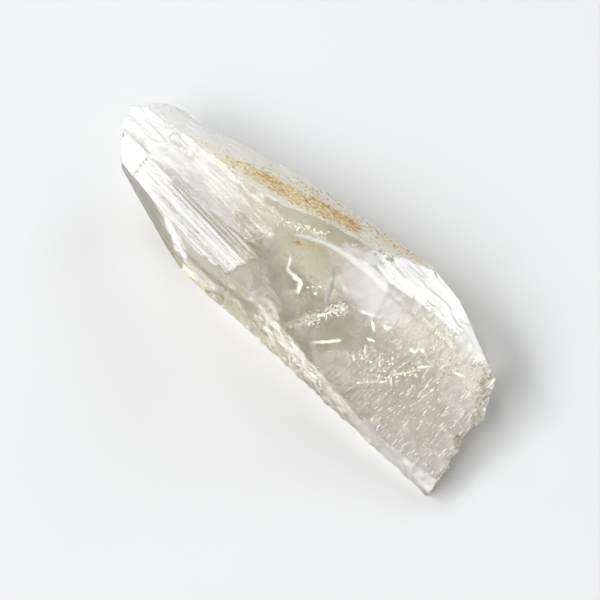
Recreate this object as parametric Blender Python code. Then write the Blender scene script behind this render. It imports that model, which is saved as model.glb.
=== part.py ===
"""A raw quartz crystal: a single broken point that lies on its side.

Metres, +Z up. The crystal lies along X with its tip at -X and its ragged broken end at +X. The
origin is under the middle of its box, on the surface that it rests on.

One piece: flat growth faces and cleaved walls, one long shell-shaped (conchoidal) fracture that
hollows the upper side towards the broken end, grooves along the striated face, a growth step,
bites along the crest and the tip, and hackles where the fracture runs out at the ragged end.
"""

import math
import random

import bmesh
import bpy
from mathutils import Matrix, Vector
from mathutils.bvhtree import BVHTree

MM = 0.001
UP = Vector((0, 0, 1))

# The heart is a point inside the crystal that every flat face is measured from.
HEART = Vector((-0.2, -0.8, 6.0)) * MM

# Flat faces: tilt of the outward normal from +Z, its azimuth from +X, distance from the heart.
FACES = {
    "underside": (180.0, 0.0, 6.0),
    "long_wall": (90.0, -91.0, 11.2),
    "tip_wall": (86.5, -101.0, 13.2),
    "striated": (27.0, -114.0, 11.0),
    "roof": (9.5, 179.0, 9.2),
    "saddle": (12.5, 70.5, 8.1),
    "stained_tip": (33.5, 105.5, 8.9),
    "stained_middle": (38.5, 95.5, 8.9),
    "shoulder": (25.0, 70.5, 9.5),
    "shoulder_wall": (72.0, 78.0, 15.8),
    "corner_wall": (71.0, 65.0, 19.3),
    "tip_belly": (154.0, -166.5, 13.6),
    "far_belly": (141.5, 97.5, 5.8),
    "tip_left": (87.0, -136.0, 27.8),
    "tip_end": (79.5, -155.0, 33.6),
    "tip_right": (46.5, 132.5, 20.8),
    "rough_bevel": (38.5, -68.0, 12.1),
}
BLANK = 200 * MM

# Fracture bowls: lowest point, (pitch, yaw, roll) in degrees, half-axes of the ellipsoid.
MAIN_BOWL = ((19.8, -7.8, 6.9), (17.0, 0.0, 0.0), (46.0, 23.0, 20.0))
CORNER_BOWL = ((12.3, -8.3, 9.0), (15.0, -22.0, -7.0), (34.0, 14.5, 9.0))
BOWL_SEGMENTS, BOWL_RINGS = 56, 40

# The broken end in plan, at the height of the surface that the crystal rests on, from the
# long wall across to the corner wall. It undercuts: higher up it stands further out.
RAGGED_EDGE = [
    (37.4, -14.3), (37.2, -12.0), (36.6, -10.8), (36.2, -9.1), (36.3, -7.9), (35.3, -6.7),
    (35.4, -5.2), (34.6, -3.5), (33.9, -2.2), (34.5, -1.0), (34.1, 0.7), (32.9, 2.6),
    (31.8, 3.8), (31.1, 5.3), (30.1, 6.3), (29.3, 8.2), (28.8, 12.2),
]
UNDERCUT = math.radians(22)
END_REACH, END_HEIGHT = 60 * MM, 20 * MM

# Grooves beside the edge of the striated face and the roof: distance across the striated face
# from that edge (negative is on the roof), start and end along the edge from the heart, width,
# depth.
GROOVES = [
    (0.55, -36.0, -1.0, 0.90, 0.22),
    (1.55, -33.0, -3.0, 0.40, 0.12),
    (2.25, -37.0, -16.0, 0.35, 0.10),
    (2.90, -24.0, 1.0, 0.35, 0.10),
    (3.60, -20.0, -2.0, 0.45, 0.12),
    (4.40, -15.0, 0.5, 0.35, 0.10),
    (-0.80, -35.0, -8.0, 0.50, 0.12),
    (-1.70, -31.0, -14.0, 0.35, 0.10),
    (-2.80, -27.0, -9.0, 0.45, 0.12),
    (-4.00, -24.0, -6.0, 0.40, 0.10),
    (-5.20, -20.0, -8.0, 0.35, 0.10),
]
GROOVE_RISE = 0.4 * MM

# The growth step: on the tip's side of it the striated face is this much lower.
STEP_DEPTH = 0.25 * MM
STEP_FROM_HEART = -26.3 * MM
STEP_SLANT = math.radians(4)
STEP_CLEARANCE = 3 * MM

# Bites along the crest above the long wall: x, radius, depth of bite.
CREST_BITES = [
    (-9.0, 0.9, 0.25), (-6.5, 1.5, 0.40), (-3.6, 1.0, 0.30), (-1.4, 1.9, 0.60), (1.8, 1.3, 0.45),
    (4.1, 2.3, 0.80), (6.9, 1.6, 0.55), (8.7, 1.1, 0.35), (11.0, 2.1, 0.75), (13.6, 1.3, 0.45),
    (15.9, 1.8, 0.60), (18.2, 1.2, 0.40), (20.1, 1.7, 0.55), (23.0, 1.4, 0.45), (25.8, 1.9, 0.55),
    (28.6, 1.2, 0.40), (31.2, 1.6, 0.50), (34.0, 1.1, 0.35),
]
CREST_Y = -11.7 * MM

# Bites out of the long wall's lower edge: x, radius, depth of bite.
FOOT_BITES = [
    (-12.0, 1.6, 0.40), (-7.1, 1.1, 0.30), (-1.5, 1.8, 0.45), (3.6, 1.2, 0.35), (8.2, 1.6, 0.40),
    (15.0, 1.2, 0.30), (22.4, 1.7, 0.40), (29.3, 1.2, 0.30),
]
FOOT_Y = -11.95 * MM

# Bites out of the tip's thin edge: x, y, z, radius.
TIP_BITES = [
    (-33.7, -7.3, 8.6, 0.80), (-34.6, -5.3, 9.0, 0.60), (-36.4, -3.8, 9.0, 0.65),
    (-37.6, -1.6, 9.1, 0.75), (-38.3, 1.8, 8.7, 0.70), (-36.7, 4.7, 8.3, 0.75),
    (-35.2, 6.1, 6.4, 0.90),
]

# Small chips beside the rim where the saddle meets the shoulder: x, y, radius, depth of bite.
RIM_CHIPS = [
    (5.4, 5.2, 1.0, 0.30), (6.9, 6.0, 1.3, 0.45), (8.8, 6.3, 0.9, 0.30), (10.4, 7.6, 1.1, 0.35),
    (20.4, 11.2, 1.1, 0.40),
]
BITE_SQUASH = (1.0, 0.7, 0.85)

# Hackles: short grooves across the floor of the main bowl, near the ragged end.
HACKLE_ROWS, HACKLES_PER_ROW = 8, 6
HACKLE_FIRST_X, HACKLE_PITCH_X = 15.5 * MM, 2.6 * MM
HACKLE_FIRST_Y, HACKLE_PITCH_Y = -9.8 * MM, 3.0 * MM
HACKLE_LENGTH, HACKLE_WIDTH, HACKLE_DEPTH = 3.4 * MM, 0.70 * MM, 0.18 * MM
HACKLE_JITTER = 0.9 * MM
HACKLE_SEED = 11

QUARTZ_COLOUR = (0.93, 0.91, 0.83, 1.0)
QUARTZ_IOR = 1.544


def clear_scene():
    for old in list(bpy.data.objects):
        bpy.data.objects.remove(old, do_unlink=True)


def direction(tilt, azimuth):
    """Unit vector from a tilt off +Z and an azimuth off +X, both in degrees."""
    t, a = math.radians(tilt), math.radians(azimuth)
    return Vector((math.sin(t) * math.cos(a), math.sin(t) * math.sin(a), math.cos(t)))


def face_plane(name, sunk=0.0):
    """A point on the named face and its outward normal, with the face moved in by sunk."""
    tilt, azimuth, distance = FACES[name]
    outward = direction(tilt, azimuth)
    return HEART + outward * (distance * MM - sunk), outward


def trim(bm, point, outward):
    """Cut away what lies beyond a plane, and close the cut with one flat face."""
    everything = bm.verts[:] + bm.edges[:] + bm.faces[:]
    cut = bmesh.ops.bisect_plane(
        bm, geom=everything, dist=1e-8, plane_co=point, plane_no=outward, clear_outer=True
    )
    rim = [item for item in cut["geom_cut"] if isinstance(item, bmesh.types.BMEdge)]
    if rim:
        bmesh.ops.edgeloop_fill(bm, edges=rim)


def convex_body(planes):
    """A bmesh of the space inside every plane."""
    bm = bmesh.new()
    bmesh.ops.create_cube(bm, size=BLANK, matrix=Matrix.Translation(HEART))
    for point, outward in planes:
        trim(bm, point, outward)
    bmesh.ops.recalc_face_normals(bm, faces=bm.faces)
    return bm


def add_object(name, bm, smooth=False):
    """Turn a bmesh into an object of that name, and free the bmesh."""
    mesh = bpy.data.meshes.new(name)
    bm.to_mesh(mesh)
    bm.free()
    if smooth:
        mesh.shade_smooth()
    obj = bpy.data.objects.new(name, mesh)
    bpy.context.scene.collection.objects.link(obj)
    return obj


def cut_with(body, cutter, overlapping=False):
    """Subtract a cutter object from the body, and keep the cutter out of sight."""
    cutter.hide_render = True
    cutter.display_type = "WIRE"
    modifier = body.modifiers.new(cutter.name, "BOOLEAN")
    modifier.operation = "DIFFERENCE"
    modifier.solver = "EXACT"
    modifier.use_self = overlapping
    modifier.object = cutter


def bowl_mesh(bowl):
    """The ellipsoid whose lower side is a fracture bowl."""
    lowest, (pitch, yaw, roll), half_axes = bowl
    turn = (
        Matrix.Rotation(math.radians(yaw), 4, "Z")
        @ Matrix.Rotation(math.radians(pitch), 4, "Y")
        @ Matrix.Rotation(math.radians(roll), 4, "X")
    )
    a, b, c = (half * MM for half in half_axes)
    centre = Vector(lowest) * MM + turn @ Vector((0, 0, c))
    shape = Matrix.Translation(centre) @ turn @ Matrix.Diagonal((a, b, c, 1))
    bm = bmesh.new()
    bmesh.ops.create_uvsphere(
        bm, u_segments=BOWL_SEGMENTS, v_segments=BOWL_RINGS, radius=1, matrix=shape
    )
    return bm


def ragged_end_mesh():
    """The slanted prism beyond the ragged edge."""
    bm = bmesh.new()
    plan = [Vector((x, y, 0)) * MM for x, y in RAGGED_EDGE]
    plan += [Vector((plan[-1].x + END_REACH, plan[-1].y, 0))]
    plan += [Vector((plan[-1].x, plan[0].y, 0))]
    slant = Vector((math.tan(UNDERCUT), 0, 1))
    base = bm.faces.new([bm.verts.new(point - slant * MM) for point in plan])
    top = bmesh.ops.extrude_face_region(bm, geom=[base])["geom"]
    corners = [item for item in top if isinstance(item, bmesh.types.BMVert)]
    bmesh.ops.translate(bm, verts=corners, vec=slant * END_HEIGHT)
    bmesh.ops.recalc_face_normals(bm, faces=bm.faces)
    return bm


def add_groove(bm, start, end, outward, width, depth, rise):
    """Add a closed boat-shaped groove cutter that runs from start to end on a surface."""
    side = (end - start).cross(outward).normalized() * (width / 2)
    middle = (start + end) / 2
    keel = bm.verts.new(middle - outward * depth)
    left = bm.verts.new(middle + side + outward * rise)
    right = bm.verts.new(middle - side + outward * rise)
    for tip, corners in ((start, (left, right)), (end, (right, left))):
        low = bm.verts.new(tip - outward * depth * 0.05)
        bm.faces.new((low, corners[0], corners[1]))
        bm.faces.new((low, keel, corners[0]))
        bm.faces.new((low, corners[1], keel))


def grooves_mesh():
    """Boat-shaped cutters beside the edge where the striated face meets the roof."""
    face_point, face_normal = face_plane("striated")
    roof_point, roof_normal = face_plane("roof")
    along = roof_normal.cross(face_normal).normalized()
    along *= math.copysign(1, along.x)
    # The point of the edge that is level with the heart: on both planes, square to the edge.
    rows = Matrix((face_normal, roof_normal, along))
    edge = rows.inverted() @ Vector(
        (face_normal.dot(face_point), roof_normal.dot(roof_point), along.dot(HEART))
    )
    bm = bmesh.new()
    for across, first, last, width, depth in GROOVES:
        outward = face_normal if across > 0 else roof_normal
        foot = edge + along.cross(outward).normalized() * across * MM
        start, end = foot + along * first * MM, foot + along * last * MM
        add_groove(bm, start, end, outward, width * MM, depth * MM, GROOVE_RISE)
    bmesh.ops.recalc_face_normals(bm, faces=bm.faces)
    return bm


def step_mesh():
    """The slab that the growth step leaves out of the striated face, on the tip's side."""
    point, outward = face_plane("striated", STEP_DEPTH)
    riser = Matrix.Rotation(STEP_SLANT, 3, outward) @ Vector((1, 0, 0))
    return convex_body([
        (point, -outward),
        (point + outward * STEP_CLEARANCE, outward),
        (HEART + riser * STEP_FROM_HEART, riser),
    ])


def add_bite(bm, centre, radius, spin):
    """Add a faceted lump that takes a bite where it overlaps the body."""
    turn = Matrix.Rotation(spin, 4, Vector((1, 2, 3)))
    place = Matrix.Translation(centre) @ turn @ Matrix.Diagonal((*BITE_SQUASH, 1))
    bmesh.ops.create_icosphere(bm, subdivisions=1, radius=radius, matrix=place)


def bites_mesh(surface):
    """Bites along the crest and the foot, out of the tip's edge and beside the rim."""
    bm = bmesh.new()
    over_crest = Vector((0, -1, 1)).normalized()
    under_foot = Vector((0, -1, -1)).normalized()
    for spin, (x, radius, bite) in enumerate(CREST_BITES):
        crest = drop(surface, x * MM, CREST_Y)
        add_bite(bm, crest + over_crest * (radius - bite) * MM, radius * MM, spin)
    for spin, (x, radius, bite) in enumerate(FOOT_BITES):
        foot = Vector((x * MM, FOOT_Y, 0))
        add_bite(bm, foot + under_foot * (radius - bite) * MM, radius * MM, spin)
    for spin, (x, y, z, radius) in enumerate(TIP_BITES):
        add_bite(bm, Vector((x, y, z)) * MM, radius * MM, spin)
    for spin, (x, y, radius, bite) in enumerate(RIM_CHIPS):
        ground = drop(surface, x * MM, y * MM)
        add_bite(bm, ground + UP * (radius - bite) * MM, radius * MM, spin)
    return bm


def drop(surface, x, y):
    """The point of a surface straight under (x, y)."""
    return surface.ray_cast(Vector((x, y, BLANK)), -UP)[0]


def hackles_mesh(surface):
    """Short grooves in rows across the bowl's floor, all running roughly along Y."""
    rng = random.Random(HACKLE_SEED)
    bm = bmesh.new()
    for row in range(HACKLE_ROWS):
        for place in range(HACKLES_PER_ROW):
            x = HACKLE_FIRST_X + row * HACKLE_PITCH_X + rng.uniform(-1, 1) * HACKLE_JITTER
            y = HACKLE_FIRST_Y + place * HACKLE_PITCH_Y + rng.uniform(-1, 1) * HACKLE_JITTER
            half = HACKLE_LENGTH * rng.uniform(0.35, 0.6)
            lean = half * rng.uniform(-0.3, 0.3)
            start = drop(surface, x - lean, y - half)
            end = drop(surface, x + lean, y + half)
            middle, outward, *_ = surface.ray_cast(Vector((x, y, BLANK)), -UP)
            if start is None or end is None or middle is None:
                continue
            sag = ((start + end) / 2 - middle).dot(outward)
            add_groove(bm, start, end, outward, HACKLE_WIDTH, HACKLE_DEPTH + sag, HACKLE_DEPTH)
    bmesh.ops.recalc_face_normals(bm, faces=bm.faces)
    return bm


def quartz_material():
    """Clear, faintly smoky quartz."""
    material = bpy.data.materials.new("smoky_clear_quartz")
    material.use_nodes = True
    shader = material.node_tree.nodes["Principled BSDF"]
    shader.inputs["Base Color"].default_value = QUARTZ_COLOUR
    shader.inputs["Metallic"].default_value = 0.0
    shader.inputs["Roughness"].default_value = 0.05
    shader.inputs["IOR"].default_value = QUARTZ_IOR
    shader.inputs["Transmission Weight"].default_value = 1.0
    return material


def evaluated_surface(obj):
    """A search tree of an object with its modifiers applied."""
    graph = bpy.context.evaluated_depsgraph_get()
    return BVHTree.FromObject(obj, graph)


def main():
    clear_scene()
    crystal = add_object("quartz_crystal", convex_body([face_plane(name) for name in FACES]))
    crystal.data.materials.append(quartz_material())
    cut_with(crystal, add_object("main_bowl_cutter", bowl_mesh(MAIN_BOWL), smooth=True))
    cut_with(crystal, add_object("corner_bowl_cutter", bowl_mesh(CORNER_BOWL), smooth=True))
    cut_with(crystal, add_object("ragged_end_cutter", ragged_end_mesh()))
    surface = evaluated_surface(crystal)
    cut_with(crystal, add_object("growth_step_cutter", step_mesh()))
    cut_with(crystal, add_object("grooves_cutter", grooves_mesh()))
    cut_with(crystal, add_object("hackles_cutter", hackles_mesh(surface)), overlapping=True)
    cut_with(crystal, add_object("bites_cutter", bites_mesh(surface)), overlapping=True)


main()
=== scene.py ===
"""The looks of the raw quartz crystal: its fine surface, its clear smoky quartz and its inner cracks.

The crystal's surface is where a signed field is zero. The field is negative inside the quartz
and holds the same flat faces, fracture bowls, ragged end, grooves, step and bites as the CAD
model. It adds a low shelf in one bowl, rounded edges, and fine relief, which only ever cuts in.
Its lengths are millimetres. The mesh's corners store how white, stained or matt they are, and
where highlights and shade are painted on, which the material reads.
"""

import itertools
import math

import bmesh
import bpy
import numpy as np
from mathutils import Matrix, Vector


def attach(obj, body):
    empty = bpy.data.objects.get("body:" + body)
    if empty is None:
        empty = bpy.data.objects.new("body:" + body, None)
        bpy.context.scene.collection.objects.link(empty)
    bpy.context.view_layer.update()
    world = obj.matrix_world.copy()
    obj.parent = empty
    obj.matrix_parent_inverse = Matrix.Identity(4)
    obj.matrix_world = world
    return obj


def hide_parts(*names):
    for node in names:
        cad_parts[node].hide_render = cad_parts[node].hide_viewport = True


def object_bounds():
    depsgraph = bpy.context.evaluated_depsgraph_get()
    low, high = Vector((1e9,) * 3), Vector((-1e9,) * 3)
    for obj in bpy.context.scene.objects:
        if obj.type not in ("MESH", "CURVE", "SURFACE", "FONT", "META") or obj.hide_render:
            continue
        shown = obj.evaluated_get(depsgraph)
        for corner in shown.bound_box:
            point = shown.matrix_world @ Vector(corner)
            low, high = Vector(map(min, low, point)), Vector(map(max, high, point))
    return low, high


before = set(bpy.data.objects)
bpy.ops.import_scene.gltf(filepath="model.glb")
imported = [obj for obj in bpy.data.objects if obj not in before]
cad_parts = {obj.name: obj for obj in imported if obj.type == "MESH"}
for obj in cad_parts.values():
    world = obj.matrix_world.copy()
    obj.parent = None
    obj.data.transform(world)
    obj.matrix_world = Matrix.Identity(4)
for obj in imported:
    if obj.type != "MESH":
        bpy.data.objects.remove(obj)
cad_low, cad_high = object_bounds()

MM = 0.001

# ---- the crystal's main forms

# The heart is a point inside the crystal that every flat face is measured from.
HEART = np.array((-0.2, -0.8, 6.0))

# Flat faces: tilt of the outward normal from +Z, its azimuth from +X, distance from the heart.
FACES = {
    "underside": (180.0, 0.0, 6.0),
    "long_wall": (90.0, -91.0, 11.2),
    "tip_wall": (86.5, -101.0, 13.2),
    "striated": (27.0, -114.0, 11.0),
    "roof": (9.5, 179.0, 9.2),
    "saddle": (12.5, 70.5, 8.1),
    "stained_tip": (33.5, 105.5, 8.9),
    "stained_middle": (38.5, 95.5, 8.9),
    "shoulder": (25.0, 70.5, 9.5),
    "shoulder_wall": (72.0, 78.0, 15.8),
    "corner_wall": (71.0, 65.0, 19.3),
    "tip_belly": (154.0, -166.5, 13.6),
    "far_belly": (141.5, 97.5, 5.8),
    "tip_left": (87.0, -136.0, 27.8),
    "tip_end": (79.5, -155.0, 33.6),
    "tip_right": (46.5, 132.5, 20.8),
    "rough_bevel": (38.5, -68.0, 12.1),
}

# Fracture bowls: lowest point, (pitch, yaw, roll) in degrees, half-axes of the ellipsoid.
MAIN_BOWL = ((19.8, -7.8, 6.9), (17.0, 0.0, 0.0), (46.0, 23.0, 20.0))
CORNER_BOWL = ((12.3, -8.3, 9.0), (15.0, -22.0, -7.0), (34.0, 14.5, 9.0))

# The broken end in plan, at the height of the surface that the crystal rests on.
RAGGED_EDGE = [
    (37.4, -14.3), (37.2, -12.0), (36.6, -10.8), (36.2, -9.1), (36.3, -7.9), (35.3, -6.7),
    (35.4, -5.2), (34.6, -3.5), (33.9, -2.2), (34.5, -1.0), (34.1, 0.7), (32.9, 2.6),
    (31.8, 3.8), (31.1, 5.3), (30.1, 6.3), (29.3, 8.2), (28.8, 12.2),
]
UNDERCUT = math.radians(22)

# The lip of the bowls' rim, which sets in between two places along X, and a crease along the
# main bowl's far wall, as (x, y).
LIP_DEPTH, LIP_WIDTH, LIP_FROM = 0.12, 0.50, (-2.4, -0.8)
CREASE = [(14.0, 3.2), (15.5, 3.4), (18.7, 3.9), (23.1, 4.2), (27.0, 4.5)]
CREASE_DEPTH, CREASE_HALF_WIDTH = 0.16, 0.45

# The corner bowl is shallower about this line in plan.
SHELF_LINE, SHELF_RISE, SHELF_REACH = ((0.6, -8.9), (4.4, -9.9)), 0.48, 3.6

# The striations turn away from the edge of the striated face and the roof by this slope, and
# cross it here, in mm along it.
STRIATION_SLOPE, STRIATION_CROSSING = 0.044, -26.4
# Grooves along the striations: distance across from that crossing (negative is towards the
# roof), start and end along the edge, width, depth.
GROOVES = [
    (-0.40, -12.0, -0.5, 0.60, 0.15),
    (0.15, -37.0, 0.0, 0.75, 0.20),
    (0.75, -22.0, 0.5, 0.60, 0.14),
    (1.60, -33.0, -3.0, 0.55, 0.06),
    (2.40, -37.0, -16.0, 0.55, 0.05),
    (3.10, -24.0, 1.0, 0.60, 0.05),
    (4.20, -14.0, 0.5, 0.60, 0.06),
    (-1.70, -31.0, -14.0, 0.55, 0.10),
    (-2.80, -27.0, -9.0, 0.60, 0.12),
    (-4.00, -24.0, -6.0, 0.60, 0.10),
    (-5.20, -20.0, -8.0, 0.60, 0.10),
]

# The growth step: on the tip's side of it the striated face is this much lower.
STEP_DEPTH, STEP_FROM_HEART = 0.25, -26.3

# The ledge where the striated face breaks off towards the bowl: beyond it the face is lower.
LEDGE_DEPTH, LEDGE_FROM_HEART = 0.35, -0.4

# Bites along the crest above the long wall: x, radius, depth of bite.
CREST_BITES = [
    (-9.0, 0.9, 0.25), (-6.5, 1.5, 0.40), (-3.6, 1.0, 0.30), (-1.4, 1.9, 0.60), (1.8, 1.3, 0.45),
    (4.1, 2.3, 0.80), (6.9, 1.6, 0.55), (8.7, 1.1, 0.35), (11.0, 2.1, 0.75), (13.6, 1.3, 0.45),
    (15.9, 1.8, 0.60), (18.2, 1.2, 0.40), (20.1, 1.7, 0.55), (23.0, 1.4, 0.45), (25.8, 1.9, 0.55),
    (28.6, 1.2, 0.40), (31.2, 1.6, 0.50), (34.0, 1.1, 0.35),
]
CREST_Y = -11.7

# Bites out of the long wall's lower edge: x, radius, depth of bite.
FOOT_BITES = [
    (-12.0, 1.6, 0.40), (-7.1, 1.1, 0.30), (-1.5, 1.8, 0.45), (3.6, 1.2, 0.35), (8.2, 1.6, 0.40),
    (15.0, 1.2, 0.30), (22.4, 1.7, 0.40), (29.3, 1.2, 0.30),
]
FOOT_Y = -11.95

# Bites out of the tip's thin edge: x, y, z, radius.
TIP_BITES = [
    (-33.7, -7.3, 8.6, 1.00), (-34.6, -5.3, 9.0, 0.75), (-36.4, -3.8, 9.0, 0.90),
    (-37.6, -1.6, 9.1, 1.00), (-38.3, 1.8, 8.7, 0.95), (-36.7, 4.7, 8.3, 0.95),
    (-35.2, 6.1, 6.4, 1.05), (-35.5, -4.8, 7.6, 0.85), (-37.9, 0.3, 8.0, 0.70),
]

# Small chips beside the rim, from the saddle to the shoulder: x, y, radius, depth of bite.
RIM_CHIPS = [
    (5.4, 5.2, 1.0, 0.30), (6.9, 6.0, 1.3, 0.45), (8.8, 6.3, 0.9, 0.30), (10.4, 7.6, 1.1, 0.35),
    (20.4, 11.2, 1.1, 0.40),
]

# ---- noise


def lattice_value(i, j, k, seed):
    """A repeatable number from 0 to 1 for each whole-number lattice point."""
    mixed = i * 73856093 + j * 19349663 + k * 83492791 + seed * 40503
    mixed = ((mixed ^ (mixed >> 13)) * 1274126177) & 0xFFFFFFFF
    return ((mixed ^ (mixed >> 15)) & 0xFFFF) / 65535.0


def noise(points, sizes, seed):
    """Smooth noise from 0 to 1. The lumps' size in mm is one number, or one for each axis."""
    scaled = points / np.asarray(sizes, float)
    cell = np.floor(scaled).astype(np.int64)
    part = scaled - cell
    part = part * part * (3 - 2 * part)
    total = np.zeros(len(points))
    for corner in itertools.product((0, 1), repeat=3):
        weight = np.ones(len(points))
        for axis in range(3):
            weight *= part[:, axis] if corner[axis] else 1 - part[:, axis]
        i, j, k = (cell[:, axis] + corner[axis] for axis in range(3))
        total += weight * lattice_value(i, j, k, seed)
    return total


def rubble(points, size, seed, octaves=3):
    """Noise of several sizes, each half the last, from 0 to 1."""
    total, weight = np.zeros(len(points)), 0.0
    for octave in range(octaves):
        share = 0.5**octave
        total += share * noise(points, size * share, seed + octave)
        weight += share
    return total / weight


def ridge(value):
    """1 where noise crosses its middle, falling to 0 at its extremes."""
    return 1 - np.abs(2 * value - 1)


def ramp(low, high, value):
    """Rises smoothly from 0 where the value is low to 1 where it is high."""
    t = np.clip((value - low) / (high - low), 0, 1)
    return t * t * (3 - 2 * t)


# ---- fields of the main forms


def away_from(points, start, end):
    """Distance of each point from a straight piece of line."""
    start, run = np.array(start), np.array(end) - start
    share = np.clip((points - start) @ run / (run @ run), 0, 1)
    return np.linalg.norm(points - start - share[:, None] * run, axis=1)


def direction(tilt, azimuth):
    """Unit vector from a tilt off +Z and an azimuth off +X, both in degrees."""
    t, a = math.radians(tilt), math.radians(azimuth)
    return np.array((math.sin(t) * math.cos(a), math.sin(t) * math.sin(a), math.cos(t)))


NORMALS = {name: direction(tilt, azimuth) for name, (tilt, azimuth, _) in FACES.items()}


def face_field(name, points):
    return (points - HEART) @ NORMALS[name] - FACES[name][2]


def bowl_field(bowl, points):
    """Negative outside the ellipsoid that a fracture bowl is part of."""
    lowest, (pitch, yaw, roll), half_axes = bowl
    turn = np.array(
        Matrix.Rotation(math.radians(yaw), 3, "Z")
        @ Matrix.Rotation(math.radians(pitch), 3, "Y")
        @ Matrix.Rotation(math.radians(roll), 3, "X")
    )
    centre = np.array(lowest) + turn @ (0, 0, half_axes[2])
    local = ((points - centre) @ turn) / half_axes
    reach = np.linalg.norm(local, axis=1)
    slope = np.linalg.norm(local / half_axes, axis=1) + 1e-9
    return -reach * (reach - 1) / slope


def ragged_field(points):
    """Negative on the crystal's side of the ragged, undercut end."""
    edge_x, edge_y = np.array(RAGGED_EDGE).T
    x, y, z = points.T
    edge = np.interp(y, edge_y, edge_x)
    return (x - z * math.tan(UNDERCUT) - edge) * math.cos(UNDERCUT)


def striation_axes():
    """A point of the edge between the striated face and the roof, and the edge's direction."""
    face, roof = NORMALS["striated"], NORMALS["roof"]
    along = np.cross(roof, face)
    along *= math.copysign(1, along[0]) / np.linalg.norm(along)
    rows = np.array((face, roof, along))
    reach = (FACES["striated"][2], FACES["roof"][2], 0.0)
    return HEART + np.linalg.solve(rows, reach), along


EDGE_POINT, ALONG = striation_axes()


def strip_coordinates(name, points):
    """Millimetres along and across the striations of a face beside the striated edge."""
    across = np.cross(ALONG, NORMALS[name])
    across /= np.linalg.norm(across)
    offset = points - EDGE_POINT
    along = offset @ ALONG
    return along, offset @ across - STRIATION_SLOPE * (along - STRIATION_CROSSING)


def groove_depth(along, across):
    """How deep the long grooves cut at these places."""
    depth = np.zeros(len(along))
    for place, first, last, width, deepest in GROOVES:
        middle, half = (first + last) / 2, (last - first) / 2
        taper = 1 - np.abs(along - middle) / half
        cut = deepest * np.clip(taper * 3, 0, 1) - np.abs(across - place) * 2 * deepest / width
        depth = np.maximum(depth, cut)
    return depth


# ---- relief, all of it cut inwards


def strip(name, points):
    """Points as along, across and zero, for noise that is drawn out along the striations."""
    along, across = strip_coordinates(name, points)
    return np.stack((along, across, np.zeros(len(along))), axis=1)


def edge_wander(lines):
    """How far the growth step and the ledge stray from a straight line, from -0.5 to 0.5."""
    return noise(lines, (50, 1.1, 1), 3) - 0.5


def past_ledge(lines):
    """Whether these places of the striated face lie beyond its ledge."""
    return lines[:, 0] + 0.5 * lines[:, 1] > LEDGE_FROM_HEART + 1.2 * edge_wander(lines)


def on_shelf(points):
    """1 on the shelf, where the striations run on, falling to 0 beside it."""
    wander = 0.8 * noise(strip("striated", points), (2.5, 0.5, 1), 65)
    return 1 - ramp(0.8, 1.6, away_from(points[:, :2], *SHELF_LINE) + wander)


def striation_lines(lines):
    """Straight fine ridges along the striations, from 0 to 1."""
    strength = ramp(0.30, 0.65, noise(lines, (9, 1.4, 1), 4))
    return strength * ridge(noise(lines, (80, 0.9, 1), 2)) ** 2


def striated_relief(points):
    lines = strip("striated", points)
    along, across = lines[:, 0], lines[:, 1]
    relief = 0.02 * noise(lines, (30, 1.3, 1), 1) + 0.03 * striation_lines(lines)
    step = STEP_DEPTH * (along < STEP_FROM_HEART + 1.6 * edge_wander(lines))
    ledge = LEDGE_DEPTH * past_ledge(lines)
    return np.maximum(relief, groove_depth(along, across)) + step + ledge


def roof_patches(points):
    """Drawn-out patches of the roof: 0 where it is smooth, 1 where it is rough."""
    flat = strip("roof", points)
    patches = noise(flat, (6.0, 1.5, 1), 5) + 0.5 * noise(flat, (2.4, 0.7, 1), 6)
    return ramp(0.62, 0.78, patches)


def terraces(value, count):
    """Noise from 0 to 1 cut into that many steps, each with a slight slope of its own."""
    steps = value * count
    return (np.floor(steps) + 0.3 * (steps % 1)) / count


def roof_relief(points):
    flat = strip("roof", points)
    near_tip = ramp(-19, -30, points[:, 0])
    hillocks = terraces(noise(flat, (2.6, 1.1, 1), 8), 5)
    feathers = terraces(noise(flat, (5.5, 0.9, 1), 7), 6)
    patches = roof_patches(points)
    relief = 0.06 * patches + (0.10 + 0.08 * patches) * feathers + 0.20 * near_tip * hillocks
    relief += 0.03 * noise(flat, (2.5, 0.5, 1), 9)
    return np.maximum(relief, groove_depth(flat[:, 0], flat[:, 1]))


def stained_relief(points):
    etched = noise(points, (2.0, 0.6, 0.6), 10)
    fine = noise(points, (1.0, 0.45, 0.45), 11)
    return 0.12 * ramp(0.45, 0.7, etched) + 0.08 * fine


def saddle_relief(points):
    return 0.08 * rubble(points, 2.5, 14) + 0.07 * noise(points, (0.9, 0.6, 0.6), 15)


def shoulder_relief(points):
    flakes = np.floor(noise(points, (4.2, 1.6, 2.0), 17) * 4) / 4
    return 0.14 * flakes + 0.03 * noise(points, (3, 0.5, 1), 18)


def broken_wall(points):
    """How broken the long wall is: 0 towards the tip, 1 below the bowls."""
    return ramp(-9, -1, points[:, 0])


def long_wall_relief(points):
    broken = broken_wall(points)
    lumps = rubble(points, 1.8, 20, 4)
    waves = noise(points, (7, 7, 1.1), 21)
    chips = ridge(noise(points, (0.8, 0.8, 0.7), 22))
    return 0.05 * waves * (1 - broken) + (0.05 + 0.95 * broken) * (0.42 * lumps + 0.22 * chips)


def tip_wall_relief(points):
    return 0.07 * noise(points, (6, 6, 1.2), 24) + 0.05 * noise(points, (2, 2, 0.6), 25)


def bevel_relief(points):
    return 0.24 * rubble(points, 2.2, 27, 2) + 0.16 * rubble(points, 0.9, 28, 2)


def tip_relief(points):
    return 0.60 * rubble(points, 1.4, 30, 4)


def ragged_relief(points):
    return 0.55 * rubble(points, 1.7, 33, 4)


def belly_relief(points):
    return 0.25 * rubble(points, 2.6, 41)


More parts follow.
